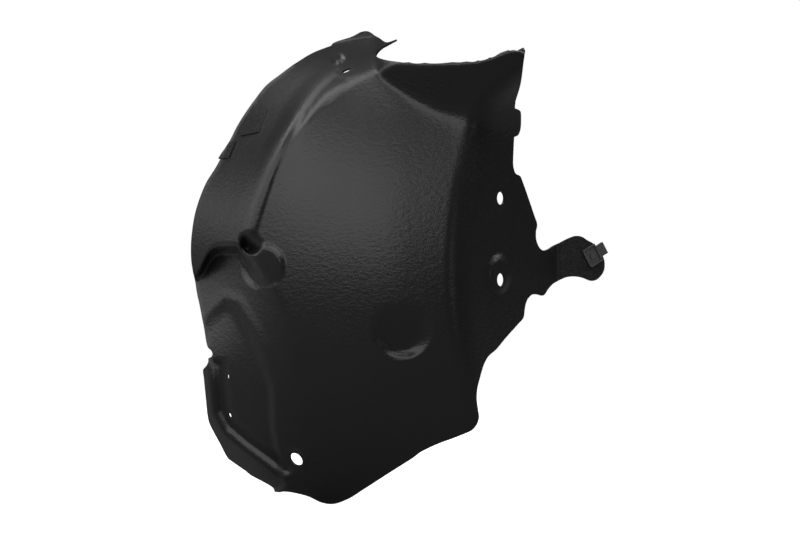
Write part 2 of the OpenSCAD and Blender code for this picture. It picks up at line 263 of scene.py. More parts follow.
@dataclass(frozen=True)
class SheetForm:
    """Form of the sheet: the height of its outer side over the moulding plane, in millimetres.

    A field that ends in _fade holds the two places between which a form grows from nothing.
    """

    thickness: float = 2.8
    deepest: float = -348.0
    deepest_soft: float = 10.0
    slope_step: float = 0.5
    tunnel_radius: float = 338.0
    axle_at: Triple = (-3.0, 22.5, -372.0)
    axle: Triple = (-0.4226, 0.1261, -0.8975)
    dome_top: float = 10.0
    dome_left: float = 380.0
    dome_right: float = 1500.0
    dome_up: float = 520.0
    dome_down: float = 560.0
    face_blend: float = 24.0
    panel_at: float = -190.0
    panel_drop: float = 6.0
    panel_turn: float = 0.8
    panel_fade: Pair = (-190.0, 20.0)
    band_end: Points = ((-330, -21), (-306, -3), (-296, 18), (-282, 30), (-240, 30), (-150, 30))
    band_end_soft: float = 6.0
    band_end_over: float = 6.0
    band_wall: Points = ((-246, 14), (-207, 80), (-150, 120))
    corner_at: Pair = (-222.0, 38.0)
    corner_foot: float = 20.0
    corner_rise: float = 34.0
    corner_fade: Pair = (14.0, 22.0)
    bead_line: Points = (
        (-95, 309), (-126, 276), (-156, 234), (-176, 192), (-194, 144), (-210, 96), (-224, 51),
    )
    bead_height: float = 7.0
    bead_steep: float = 13.0
    bead_crown: float = 2.0
    bead_slow: float = 26.0
    bead_fade: Pair = (21.0, 60.0)
    small_bead_line: Points = ((-93, 273), (-114, 260), (-134, 231), (-150, 198), (-156, 174))
    small_bead: float = 3.5
    small_bead_width: float = 15.0
    small_bead_fade: Pair = (165.0, 225.0)
    channel_line: Points = (
        (-276, -129), (-269, -219), (-257, -242), (-231, -263), (-195, -288), (-172, -305),
    )
    channel_out: float = 5.0
    channel_depth: float = 9.0
    channel_width: float = 21.0
    channel_fade: Pair = (138.0, 150.0)
    ridge_over: float = 3.0
    ridge_width: float = 15.0
    leg_from: float = 12.0
    leg_soft: float = 4.0
    leg_slope: float = 1.3
    end_at: Pair = (-172.0, -325.0)
    end_way: Pair = (0.81, 0.59)
    channel_end: Pair = (-6.0, 12.0)
    ridge_end: Pair = (-8.0, 4.0)
    step_line: Points = (
        (-330, -104), (-294, -66), (-269, -46), (-245, -54), (-217, -98), (-202, -131), (-188, -178),
        (-186, -247), (-174, -311), (-165, -357),
    )
    step_depth: float = 8.0
    step_width: Points = ((-190, 14), (-120, 26))
    step_lip: float = 2.5
    step_lip_width: float = 16.0
    step_lip_fade: Pair = (-150.0, -110.0)
    seat_at: Pair = (-206.0, 0.0)
    seat_radius: float = 33.0
    seat_edge: Pair = (-7.0, 3.0)
    seat_slope: float = 0.36
    seat_drop: float = 0.5
    dish_at: Pair = (3.0, -88.5)
    dish_radius: float = 50.0
    dish_depth: float = 13.0
    dish_edge: float = 30.0
    dish_edge_less: float = 20.0
    dish_edge_from: float = -92.0
    dish_edge_run: float = 46.0
    dish_fade: Pair = (48.0, 140.0)
    nub_at: Pair = (-97.0, 322.0)
    nub_radius: float = 13.0
    nub_height: float = 12.0
    nub_crown: float = 0.35
    boss_at: Pair = (150.0, -10.0)
    boss_half: Pair = (17.0, 29.0)
    boss_height: float = 8.0
    boss_edge: Pair = (0.6, 1.15)
    lip_line: Points = ((-97, 293), (-91, 288), (-78, 288), (-67, 294))
    lip_height: float = 1.6
    lip_width: float = 5.0
    left_roll: float = 6.0
    left_curl: float = 0.09
    rim_roll: float = 5.0
    rim_curl: float = 0.14
    collar_foot: Points = (
        (-60, 315), (-44, 306), (-35, 291), (-17, 276), (15, 255), (46, 239), (70, 231), (99, 225),
        (130, 222), (195, 222),
    )
    collar_foot_soft: float = 9.0
    collar_soft: Points = ((-45, 4), (0, 8), (75, 16), (135, 30), (180, 40))
    collar_slope: float = 1.25
    collar_fade: Pair = (-48.0, -24.0)
    flange_from: float = 92.0
    flange_back: float = 40.0
    flange_fade: Pair = (235.0, 310.0)
    flange_height: float = -9.0
    flange_slope: float = 1.48
    flange_bend: float = 32.0
    ear_slope: float = 1.08
    ear_from: float = 238.0
    ear_fade: Pair = (226.0, 250.0)
    fixings: tuple[Fixing, ...] = (
        Fixing("rail_up", (152, 103), (0.82, 0, 0.5724), 10.0),
        Fixing("rail_low", (152, -20), (0.82, 0, 0.5724), 10.0),
        Fixing("bumper", (-157, -292), (-0.52, -0.457, 0.722), 11.0),
        Fixing("crest", (-82, 298), (-0.4, 0.862, 0.311), 7.5),
        Fixing("lip_up", (-263, -168), (-0.86, -0.1, 0.5), 4.0, 0.2, 3.0, 3.0),
        Fixing("lip_low", (-261, -228), (-0.75, -0.32, 0.58), 4.0, 0.2, 3.0, 3.0),
    )

    def tunnel(self, x: Array, y: Array) -> Array:
        """Height of the cylinder that the wheel turns in.

        Args:
            x: places across.
            y: places up.

        Returns:
            The cylinder's near side at each place.
        """
        ax, ay, az = self.axle
        qx, qy = x - self.axle_at[0], y - self.axle_at[1]
        m = qx * ax + qy * ay
        a = 1.0 - az * az
        b = -2.0 * az * m
        c = qx * qx + qy * qy - m * m - self.tunnel_radius**2
        return self.axle_at[2] + (-b + np.sqrt(np.maximum(b * b - 4.0 * a * c, 0.0))) / (2.0 * a)

    def dome(self, x: Array, y: Array) -> Array:
        """Height of the inner face's shallow dome.

        Args:
            x: places across.
            y: places up.

        Returns:
            The height at each place, 0 at the dome's top.
        """
        left, right = np.minimum(x - self.dome_top, 0.0), np.maximum(x - self.dome_top, 0.0)
        up, down = np.maximum(y, 0.0), np.minimum(y, 0.0)
        across = -left * left / (2.0 * self.dome_left) - right * right / (2.0 * self.dome_right)
        return across - up * up / (2.0 * self.dome_up) - down * down / (2.0 * self.dome_down)

    def side(self, x: Array, y: Array) -> Array:
        """Height of the wheel side: the band, and the panel under the band's end.

        Args:
            x: places across.
            y: places up.

        Returns:
            The height at each place.
        """
        slope = 1.0 + self.panel_turn * soft(*self.panel_fade, y)
        low = self.dome(np.full_like(x, self.panel_at), y) - self.panel_drop + slope * (x - self.panel_at)
        rise = y - curve(x, self.band_end, self.band_end_soft)
        wall = curve(x, self.band_wall)
        share = soft(-wall, self.band_end_over, rise)
        corner = np.minimum(share, np.clip((y - self.corner_foot) / self.corner_rise, 0.0, 1.0))
        away = np.hypot(x - self.corner_at[0], y - self.corner_at[1])
        share = share + (corner - share) * (1.0 - soft(*self.corner_fade, away))
        return low + (self.tunnel(x, y) - low) * share

    def beads(self, x: Array, y: Array) -> Array:
        """Height added by the two beads beside the band.

        Args:
            x: places across.
            y: places up.

        Returns:
            The height added there.
        """
        d = reach(x, y, self.bead_line)
        e = np.abs(reach(x, y, self.small_bead_line))
        steep = 1.0 - soft(0.0, self.bead_steep, d)
        slow = 1.0 - soft(self.bead_crown, self.bead_slow, -d)
        long = self.bead_height * np.where(d > 0.0, steep, slow) * soft(*self.bead_fade, y)
        small = self.small_bead * (1.0 - soft(0.0, self.small_bead_width, e))
        return long + small * soft(*self.small_bead_fade, y)

    def lower_return(self, x: Array, y: Array) -> Array:
        """Height taken off by the channel and the leg outside it, cut off square at the lower end.

        Args:
            x: places across.
            y: places up.

        Returns:
            The height added there, below zero.
        """
        d = reach(x, y, self.channel_line) + self.channel_out
        depth = self.channel_depth
        run = (x - self.end_at[0]) * self.end_way[0] - (y - self.end_at[1]) * self.end_way[1]
        over = np.sin(np.clip(-d / self.ridge_width, 0.0, 1.0) * math.pi / 2.0)
        leg = np.sqrt(np.maximum(-d - self.leg_from, 0.0) ** 2 + self.leg_soft**2) - self.leg_soft
        ridge = depth - (depth + self.ridge_over) * over + self.leg_slope * leg
        inner = depth * (1.0 - soft(0.0, self.channel_width, d)) * (1.0 - soft(*self.channel_end, run))
        cut = np.where(d > 0.0, inner, ridge * (1.0 - soft(*self.ridge_end, run)))
        return -soft(*self.channel_fade, -y) * cut

    def step_down(self, x: Array, y: Array) -> Array:
        """Step down to the lower panel, with a low lip above it.

        Args:
            x: places across.
            y: places up.

        Returns:
            The height added there.
        """
        d = reach(x, y, self.step_line)
        lip = self.step_lip * (1.0 - soft(0.0, self.step_lip_width, np.abs(d)))
        down = soft(0.0, curve(y, self.step_width), -d)
        return lip * soft(*self.step_lip_fade, y) - self.step_depth * down

    def details(self, x: Array, y: Array) -> Array:
        """Height added by the round seat, the dish, the nub and the boss.

        Args:
            x: places across.
            y: places up.

        Returns:
            The height added there.
        """
        qx, qy = x - self.seat_at[0], y - self.seat_at[1]
        edge = (self.seat_radius + self.seat_edge[0], self.seat_radius + self.seat_edge[1])
        share = 1.0 - soft(*edge, np.hypot(qx, qy))
        z = share * (self.seat_slope * (qx + qy) / DIAGONAL - self.seat_drop)
        less = np.clip((self.dish_edge_from - y) / self.dish_edge_run, 0.0, 1.0)
        inner = self.dish_radius - self.dish_edge + self.dish_edge_less * less
        away = np.hypot(x - self.dish_at[0], y - self.dish_at[1])
        share = 1.0 - soft(inner, self.dish_radius, away)
        z = z - share * self.dish_depth * soft(*self.dish_fade, -y)
        away = np.hypot(x - self.nub_at[0], y - self.nub_at[1])
        z = z + self.nub_height * (1.0 - soft(self.nub_crown, 1.0, away / self.nub_radius))
        qx, qy = (x - self.boss_at[0]) / self.boss_half[0], (y - self.boss_at[1]) / self.boss_half[1]
        return z + self.boss_height * (1.0 - soft(*self.boss_edge, np.hypot(qx, qy)))

    def fine(self, x: Array, y: Array) -> Array:
        """Height added by what is too fine for the CAD model: a lip by the crest hole and the rolled edges.

        Args:
            x: places across.
            y: places up.

        Returns:
            The height added there.
        """
        z = self.lip_height * (1.0 - soft(0.0, self.lip_width, np.abs(reach(x, y, self.lip_line))))
        left = np.maximum(self.left_roll - np.abs(reach(x, y, Trim.left)), 0.0)
        rim = np.maximum(self.rim_roll - np.abs(reach(x, y, Trim.rim[:-2])), 0.0)
        return z + left * left * self.left_curl - rim * rim * self.rim_curl

    def collar(self, x: Array, y: Array) -> Array:
        """Height added by the collar round the strut's opening."""
        d, b = y - curve(x, self.collar_foot, self.collar_foot_soft), curve(x, self.collar_soft)
        return self.collar_slope * (np.sqrt(d * d + b * b) + d) / 2.0 * soft(*self.collar_fade, x)

    def ear_lift(self, x: Array) -> Array:
        """Height added where the ear leans back from the flange."""
        return self.ear_slope * np.maximum(x - self.ear_from, 0.0) * soft(*self.ear_fade, x)

    def plain(self, x: Array, y: Array) -> Array:
        """Height of the sheet before its fixing pads are flattened.

        Args:
            x: places across.
            y: places up.

        Returns:
            The height at each place.
        """
        body = soft_min(self.dome(x, y), self.side(x, y), self.face_blend) + self.beads(x, y)
        start = self.flange_from + self.flange_back * soft(*self.flange_fade, y)
        bent = soft_min(body, self.flange_height - self.flange_slope * (x - start), self.flange_bend)
        z = bent + self.lower_return(x, y) + self.step_down(x, y) + self.details(x, y) + self.collar(x, y)
        return -soft_min(-z, np.full_like(z, -self.deepest), self.deepest_soft) + self.ear_lift(x)

    def height(self, x: Array, y: Array) -> Array:
        """Height of the sheet's outer side, with the flat pads round its holes.

        Args:
            x: places across.
            y: places up.

        Returns:
            The height at each place.
        """
        z = self.plain(x, y) + self.fine(x, y)
        for fixing in self.fixings:
            fx, fy = fixing.at
            nx, ny, nz = fixing.way
            middle = float(self.plain(np.array([fx]), np.array([fy]))[0])
            lean = -(nx * (x - fx) + ny * (y - fy)) / nz
            away = np.sqrt((x - fx) ** 2 + (y - fy) ** 2 + lean**2)
            edge = fixing.radius + fixing.rim
            flat = middle + lean + fixing.proud * math.sqrt(nx * nx + ny * ny + nz * nz) / nz
            z = z + (flat - z) * (1.0 - soft(edge, edge + fixing.blend, away))
        return z

    def normals(self, x: Array, y: Array) -> Array:
        """Unit normals of the outer side.

        Args:
            x: places across.
            y: places up.

        Returns:
            A vector for each place, in the moulding plane's axes.
        """
        s = self.slope_step
        dx = (self.height(x + s, y) - self.height(x - s, y)) / (2.0 * s)
        dy = (self.height(x, y + s) - self.height(x, y - s)) / (2.0 * s)
        n = np.stack([-dx, -dy, np.ones_like(dx)], axis=-1)
        return n / np.linalg.norm(n, axis=-1, keepdims=True)


def rounded(points: Points, step: float) -> list[Pair]:
    """Smooth open curve through points, cut into short steps.

    Args:
        points: the points it runs through.
        step: the longest step, in millimetres.

    Returns:
        The curve's points without its last one.
    """
    p = [Vector(q) for q in points]
    p = [2 * p[0] - p[1]] + p + [2 * p[-1] - p[-2]]
    out = []
    for i in range(1, len(p) - 2):
        a, b, c, d = p[i - 1 : i + 3]
        knots = [0.0]
        for u, v in ((a, b), (b, c), (c, d)):
            knots.append(knots[-1] + max((v - u).length, 0.1) ** 0.5)
        count = max(1, math.ceil((c - b).length / step))
        for k in range(count):
            t = knots[1] + (knots[2] - knots[1]) * k / count
            a1 = a.lerp(b, (t - knots[0]) / (knots[1] - knots[0]))
            a2 = b.lerp(c, (t - knots[1]) / (knots[2] - knots[1]))
            a3 = c.lerp(d, (t - knots[2]) / (knots[3] - knots[2]))
            b1 = a1.lerp(a2, (t - knots[0]) / (knots[2] - knots[0]))
            b2 = a2.lerp(a3, (t - knots[1]) / (knots[3] - knots[1]))
            out.append(tuple(b1.lerp(b2, (t - knots[1]) / (knots[2] - knots[1]))))
    return out


def inside(x: Array, y: Array, loop: Points) -> Array:
    """Whether each place lies inside a closed loop.

    Args:
        x: places across.
        y: places up.
        loop: the loop's points in order.

    Returns:
        True or False for each place.
    """
    hit = np.zeros(np.shape(x), dtype=bool)
    for (ax, ay), (bx, by) in zip(loop, list(loop[1:]) + [loop[0]]):
        if ay == by:
            continue
        crosses = (ay > y) != (by > y)
        hit ^= crosses & (x < (bx - ax) * (y - ay) / (by - ay) + ax)
    return hit


def add_mesh(
    name: str, vertices: Array, faces: Sequence[Sequence[int]], smooth: bool = True
) -> Object:
    """Makes a mesh object at the origin and puts it in the scene.

    Args:
        name: the object's name.
        vertices: places in the row frame, in metres.
        faces: vertex numbers of each face, outward.
        smooth: whether its faces are shaded smooth.

    Returns:
        The new object.
    """
    mesh = bpy.data.meshes.new(name)
    mesh.from_pydata([tuple(v) for v in vertices], [], [tuple(f) for f in faces])
    mesh.polygons.foreach_set("use_smooth", [smooth] * len(mesh.polygons))
    mesh.update()
    obj = bpy.data.objects.new(name, mesh)
    bpy.context.scene.collection.objects.link(obj)
    return obj


def within(places: Array, loops: Sequence[Points]) -> Array:
    """Whether each place lies inside the first loop and outside the others.

    Args:
        places: places over the moulding plane, one to a row.
        loops: an outline, and then its holes.

    Returns:
        True or False for each place.
    """
    keep = inside(places[:, 0], places[:, 1], loops[0])
    for hole in loops[1:]:
        keep &= ~inside(places[:, 0], places[:, 1], hole)
    return keep


def triangulated(loops: Sequence[Points], grid: Array, clear: float) -> tuple[Array, Array]:
    """Triangles inside an outline, its holes left out.

    Args:
        loops: the outline, and then the holes.
        grid: places that become points where they are inside and clear of the loops.
        clear: how far such a place is from every loop, at least.

    Returns:
        The points, and the numbers of each triangle's corners.
    """
    grid = grid[within(grid, loops)]
    near = np.full(len(grid), FAR)
    for loop in loops:
        near = np.minimum(near, np.abs(reach(grid[:, 0], grid[:, 1], list(loop) + [loop[0]])))
    points = [Vector(p) for loop in loops for p in loop] + [Vector(g) for g in grid[near > clear]]
    edges: list[tuple[int, int]] = []
    for loop in loops:
        start = len(edges)
        edges += [(start + i, start + (i + 1) % len(loop)) for i in range(len(loop))]
    flat, _, faces, *_ = delaunay_2d_cdt(points, edges, [], 0, MERGE)
    flat = np.array([tuple(v) for v in flat])
    faces = np.array([tuple(f) for f in faces])
    return flat, faces[within(flat[faces].mean(axis=1), loops)]


def closed_shell(
    name: str, plane: MouldingPlane, outer: Array, under: Array, faces: Array, smooth: bool = True
) -> tuple[Object, list[tuple[int, int]]]:
    """Makes a closed mesh of an outer and an under side that share their triangles.

    Args:
        name: the object's name.
        plane: the moulding plane that the points are given over.
        outer: the outer side's points, in millimetres.
        under: the under side's points, in the same order.
        faces: corner numbers of each triangle.
        smooth: whether its faces are shaded smooth.

    Returns:
        The object, and the point numbers of each edge along the border.
    """
    a, b, c = outer[faces[:, 0]], outer[faces[:, 1]], outer[faces[:, 2]]
    flip = np.cross(b - a, c - a)[:, 2] < 0.0
    faces[flip] = faces[flip][:, ::-1]
    directed = {(int(f[i]), int(f[(i + 1) % 3])) for f in faces for i in range(3)}
    border = [(p, q) for p, q in directed if (q, p) not in directed]
    count = len(outer)
    walls = [(q, p, p + count, q + count) for p, q in border]
    all_faces = [tuple(f) for f in faces] + [tuple(f[::-1] + count) for f in faces] + walls
    return add_mesh(name, plane.place(np.concatenate([outer, under])), all_faces, smooth), border


@dataclass
class Liner:
    """The moulded sheet with its ear, one closed mesh, in millimetres.

    The share of a cell that its inner points keep from the trim line and the holes is clear.
    """

    plane: MouldingPlane
    form: SheetForm = field(default_factory=SheetForm)
    trim: Trim = field(default_factory=Trim)
    cell: float = 3.1
    clear: float = 0.42
    trim_step: float = 2.4
    hole_sides: int = 40

    def outline(self) -> list[Pair]:
        """Closed trim line in short steps, with a corner between two runs.

        Returns:
            Its points in order.
        """
        runs = astuple(self.trim)
        ends = runs[1:] + runs[:1]
        return [p for run, after in zip(runs, ends) for p in rounded((*run, after[0]), self.trim_step)]

    def hole(self, fixing: Fixing) -> list[Pair]:
        """Loop of a fixing's hole over the moulding plane.

        Args:
            fixing: the hole and its pad.

        Returns:
            The loop's points in order.
        """
        n = Vector(fixing.way).normalized()
        a = n.orthogonal().normalized()
        b = n.cross(a)
        turns = [2.0 * math.pi * k / self.hole_sides for k in range(self.hole_sides)]
        rim = [(a * math.cos(t) + b * math.sin(t)) * fixing.radius for t in turns]
        return [(fixing.at[0] + p.x, fixing.at[1] + p.y) for p in rim]

    def flat_mesh(self) -> tuple[Array, Array]:
        """Points and triangles over the moulding plane, holes left out.

        Returns:
            The points, and the numbers of each triangle's corners.
        """
        outline = self.outline()
        low, high = np.min(outline, axis=0), np.max(outline, axis=0)
        rows = np.arange(low[1], high[1], self.cell * ROW_PITCH)
        columns = np.arange(low[0], high[0], self.cell)
        grid = np.array([(x + (i % 2) * self.cell / 2.0, y) for i, y in enumerate(rows) for x in columns])
        loops = [outline] + [self.hole(f) for f in self.form.fixings]
        return triangulated(loops, grid, self.cell * self.clear)

    def build(self) -> Object:
        """Builds the closed sheet and marks its borders as sharp.

        Returns:
            The sheet's object.
        """
        flat, faces = self.flat_mesh()
        x, y = flat[:, 0], flat[:, 1]
        outer = np.stack([x, y, self.form.height(x, y)], axis=-1)
        under = outer - self.form.thickness * self.form.normals(x, y)
        obj, border = closed_shell("liner_sheet", self.plane, outer, under, faces)
        marked = {tuple(sorted(e)) for e in border}
        marked |= {(p + len(outer), q + len(outer)) for p, q in marked}
        sharp = obj.data.attributes.new("sharp_edge", "BOOLEAN", "EDGE")
        ends = np.empty(len(obj.data.edges) * 2, dtype=np.int32)
        obj.data.edges.foreach_get("vertices", ends)
        sharp.data.foreach_set("value", [tuple(sorted(e)) in marked for e in ends.reshape(-1, 2).tolist()])
        log.info("holes in the sheet: %s", ", ".join(f.name for f in self.form.fixings))
        return obj


def feed(tree: NodeTree, node: Node, inputs: Inputs) -> None:
    """Gives a node's inputs their values, or links them to what feeds them.

    Args:
        tree: the node's tree.
        node: the node.
        inputs: for an input's name or number, its value or the socket that feeds it.
    """
    for key, value in inputs.items():
        if isinstance(value, NodeSocket):
            tree.links.new(value, node.inputs[key])
        else:
            node.inputs[key].default_value = value


def add_node(tree: NodeTree, kind: str, inputs: Inputs, **settings: str) -> Node:
    """Adds a node to a tree.

    Args:
        tree: the tree.
        kind: the node's type.
        inputs: as for feed.
        settings: the node's own properties, set before its inputs.

    Returns:
        The new node.
    """
    node = tree.nodes.new(kind)
    for name, value in settings.items():
        setattr(node, name, value)
    feed(tree, node, inputs)
    return node


def grey(level: float) -> tuple[float, float, float, float]:
    """Opaque grey of a level from 0 to 1."""
    return (level, level, level, 1.0)


def tick_group(mat: Material) -> NodeTree:
    """Node group that puts small raised bars on the points of a mesh.

    Args:
        mat: the bars' material.

    Returns:
        The group, with named inputs for the bars' size, their share and the seed.
    """
    group = bpy.data.node_groups.new("ticks", "GeometryNodeTree")
    face = group.interface
    face.new_socket("Geometry", in_out="INPUT", socket_type="NodeSocketGeometry")
    for name, value in (("Length", 0.0042), ("Width", 0.0009), ("Height", 0.0012), ("Share", 0.8)):
        face.new_socket(name, in_out="INPUT", socket_type="NodeSocketFloat").default_value = value
    face.new_socket("Seed", in_out="INPUT", socket_type="NodeSocketInt").default_value = 7
    face.new_socket("Geometry", in_out="OUTPUT", socket_type="NodeSocketGeometry")
    given = add_node(group, "NodeGroupInput", {}).outputs
    lengths = {"X": given["Width"], "Y": given["Length"], "Z": given["Height"]}
    size = add_node(group, "ShaderNodeCombineXYZ", lengths)
    bar = add_node(group, "GeometryNodeMeshCube", {"Size": size.outputs["Vector"]})
    odds = {"Probability": given["Share"], "Seed": given["Seed"]}
    chosen = add_node(group, "FunctionNodeRandomValue", odds, data_type="BOOLEAN")
    scales = {"Min": (0.8, 0.45, 0.9), "Max": (1.6, 1.0, 1.0), "Seed": given["Seed"]}
    grown = add_node(group, "FunctionNodeRandomValue", scales, data_type="FLOAT_VECTOR")
    up, along = (
        add_node(group, "GeometryNodeInputNamedAttribute", {"Name": name}, data_type="FLOAT_VECTOR")
        for name in ("surface_normal", "row_way")
    )
    align = "FunctionNodeAlignRotationToVector"
    stand = add_node(group, align, {"Vector": up.outputs["Attribute"]}, axis="Z")
    ways = {"Rotation": stand.outputs["Rotation"], "Vector": along.outputs["Attribute"]}
    turned = add_node(group, align, ways, axis="X", pivot_axis="Z")
    place = add_node(group, "GeometryNodeInstanceOnPoints", {
        "Points": given["Geometry"], "Selection": chosen.outputs[3], "Instance": bar.outputs["Mesh"],
        "Rotation": turned.outputs["Rotation"], "Scale": grown.outputs[0],
    })
    real = add_node(group, "GeometryNodeRealizeInstances", {"Geometry": place.outputs["Instances"]})
    coats = {"Material": mat, "Geometry": real.outputs["Geometry"]}
    coat = add_node(group, "GeometryNodeSetMaterial", coats)
    add_node(group, "NodeGroupOutput", {"Geometry": coat.outputs["Geometry"]})
    return group


@dataclass
class MarkPad:
    """A raised plate on the band, with rows of short bars in place of any lettering, in millimetres.

    Each two points of rows are the ends of one row, and clear is a share of a cell.
    """

    plane: MouldingPlane
    form: SheetForm
    name: str
    outline: Points
    rows: Points
    rise: float = 2.2
    sunk: float = 0.6
    cell: float = 3.0
    clear: float = 0.4
    pitch: float = 3.2

    def plate(self) -> Object:
        """Builds the closed plate over its outline.

        Returns:
            The plate's object.
        """
        corners = list(self.outline)
        loop = [p for a, b in zip(corners, corners[1:] + corners[:1]) for p in self.cut(a, b)]
        low, high = np.min(loop, axis=0), np.max(loop, axis=0)
        across, up = np.arange(low[0], high[0], self.cell), np.arange(low[1], high[1], self.cell)
        grid = np.array([(x, y) for y in up for x in across])
        flat, faces = triangulated([loop], grid, self.cell * self.clear)
        x, y = flat[:, 0], flat[:, 1]
        sheet = np.stack([x, y, self.form.height(x, y)], axis=-1)
        normals = self.form.normals(x, y)
        top, bottom = sheet + self.rise * normals, sheet - self.sunk * normals
        return closed_shell(self.name, self.plane, top, bottom, faces, smooth=False)[0]

    def cut(self, a: Pair, b: Pair) -> list[Pair]:
        """Points from a towards b in short steps, b left out."""
        count = max(1, math.ceil(math.dist(a, b) / self.cell))
        return [(a[0] + (b[0] - a[0]) * k / count, a[1] + (b[1] - a[1]) * k / count) for k in range(count)]

    def ticks(self, mat: Material) -> Object:
        """Builds the bars by Geometry Nodes on points along the rows.

        Args:
            mat: the bars' material.

        Returns:
            The bars' object, as a plain mesh.
        """
        spots, ways = [], []
        for (ax, ay), (bx, by) in zip(self.rows[::2], self.rows[1::2]):
            count = max(2, int(math.dist((ax, ay), (bx, by)) / self.pitch))
            spots += [(ax + (bx - ax) * k / count, ay + (by - ay) * k / count) for k in range(count + 1)]
            ways += [(bx - ax, by - ay, 0.0)] * (count + 1)
        x, y = np.array(spots, dtype=float).T
        normals = self.form.normals(x, y)
        at = np.stack([x, y, self.form.height(x, y)], axis=-1) + normals * self.rise
        along = np.array(ways)
        along = along - normals * np.sum(along * normals, axis=-1, keepdims=True)
        obj = add_mesh(self.name + "_ticks", self.plane.place(at), [])
        turn = np.array(self.plane.matrix().to_3x3().normalized())
        for name, values in (("surface_normal", normals), ("row_way", along)):
            values = values / np.linalg.norm(values, axis=-1, keepdims=True) @ turn.T
            stored = obj.data.attributes.new(name, "FLOAT_VECTOR", "POINT")
            stored.data.foreach_set("vector", values.ravel())
        modifier = obj.modifiers.new("ticks", "NODES")
        modifier.node_group = tick_group(mat)
        graph = bpy.context.evaluated_depsgraph_get()
        made = bpy.data.meshes.new_from_object(obj.evaluated_get(graph))
        obj.modifiers.remove(modifier)
        obj.data = made
        return obj


@dataclass
class SpringNut:
    """Folded steel strip on the ear's edge with a frame round its barrel, in millimetres."""

    plane: MouldingPlane
    form: SheetForm
    at: Pair = (296.5, 16.5)
    lean: float = 21.8
    turn: float = 30.0
    length: float = 24.0
    width: float = 30.0
    tongue: float = 19.0
    strip: float = 1.2
    gap: float = 0.2
    frame: float = 3.0
    fold: float = 25.0
    overlap: float = 1.0
    sunk: float = 0.1
    edge: float = 0.35
    barrel_foot: float = 4.5
    barrel_top: float = 4.2
    barrel_rise: float = 1.0
    barrel_drop: float = 0.4
    barrel_sides: int = 32

    def matrix(self) -> Matrix:
        """Matrix from the nut's own place to the row frame.

        Returns:
            The matrix; its z is 0 at the sheet's outer side.
        """
        z = float(self.form.height(np.array([self.at[0]]), np.array([self.at[1]]))[0])
        own = Matrix.Translation((*self.at, z)) @ Matrix.Rotation(math.radians(self.lean), 4, "Y")
        return self.plane.matrix() @ own @ Matrix.Rotation(math.radians(self.turn), 4, "Z")

    def box(self, bm: bmesh.types.BMesh, low: Sequence[float], high: Sequence[float]) -> None:
        """Adds a box with rounded edges.

        Args:
            bm: the mesh it goes into.
            low: its lowest corner.
            high: its highest corner.
        """
        new = bmesh.ops.create_cube(bm, size=1.0)["verts"]
        for v in new:
            v.co = Vector(low[i] + (high[i] - low[i]) * (v.co[i] + 0.5) for i in range(3))
        edges = list({e for v in new for e in v.link_edges})
        bmesh.ops.bevel(bm, geom=edges, offset=self.edge, segments=2, affect="EDGES", profile=0.5)

    def build(self) -> Object:
        """Builds the nut as one object of closed shells: strip, tongue, fold, lower leg, frame and barrel.

        Returns:
            The nut's object.
        """
        bm = bmesh.new()
        l, w, t, s = self.length / 2, self.width / 2, self.tongue / 2, self.strip
        low, top, end = -self.form.thickness - self.gap, self.gap + s, self.fold + s
        self.box(bm, (-l, -w, self.gap), (l, w, top))
        self.box(bm, (l - self.overlap, -t, self.gap), (end, t, top))
        self.box(bm, (self.fold, -t, low - s), (end, t, top))
        self.box(bm, (-l, -t, low - s), (end, t, low))
        foot, rim = top - self.sunk, top + self.frame
        for side in (-1, 1):
            self.box(bm, (side * (l - s) - s, -w, foot), (side * (l - s) + s, w, rim))
            self.box(bm, (-l, side * (w - s) - s, foot), (l, side * (w - s) + s, rim))
        ring = bmesh.ops.create_cone(
            bm, cap_ends=True, segments=self.barrel_sides, depth=self.frame + self.barrel_rise,
            radius1=self.barrel_foot, radius2=self.barrel_top,
        )
        bmesh.ops.translate(bm, verts=ring["verts"], vec=(0, 0, top + self.frame / 2 - self.barrel_drop))
        bm.transform(self.matrix())
        bmesh.ops.recalc_face_normals(bm, faces=bm.faces)
        mesh = bpy.data.meshes.new("nut")
        bm.to_mesh(mesh)
        bm.free()
        obj = bpy.data.objects.new("nut_strip", mesh)
        bpy.context.scene.collection.objects.link(obj)
        return obj


def new_material(name: str) -> Material:
    """Makes a material with nodes.

    Args:
        name: its name.

    Returns:
        The material.
    """
    mat = bpy.data.materials.new(name)
    mat.use_nodes = True
    return mat


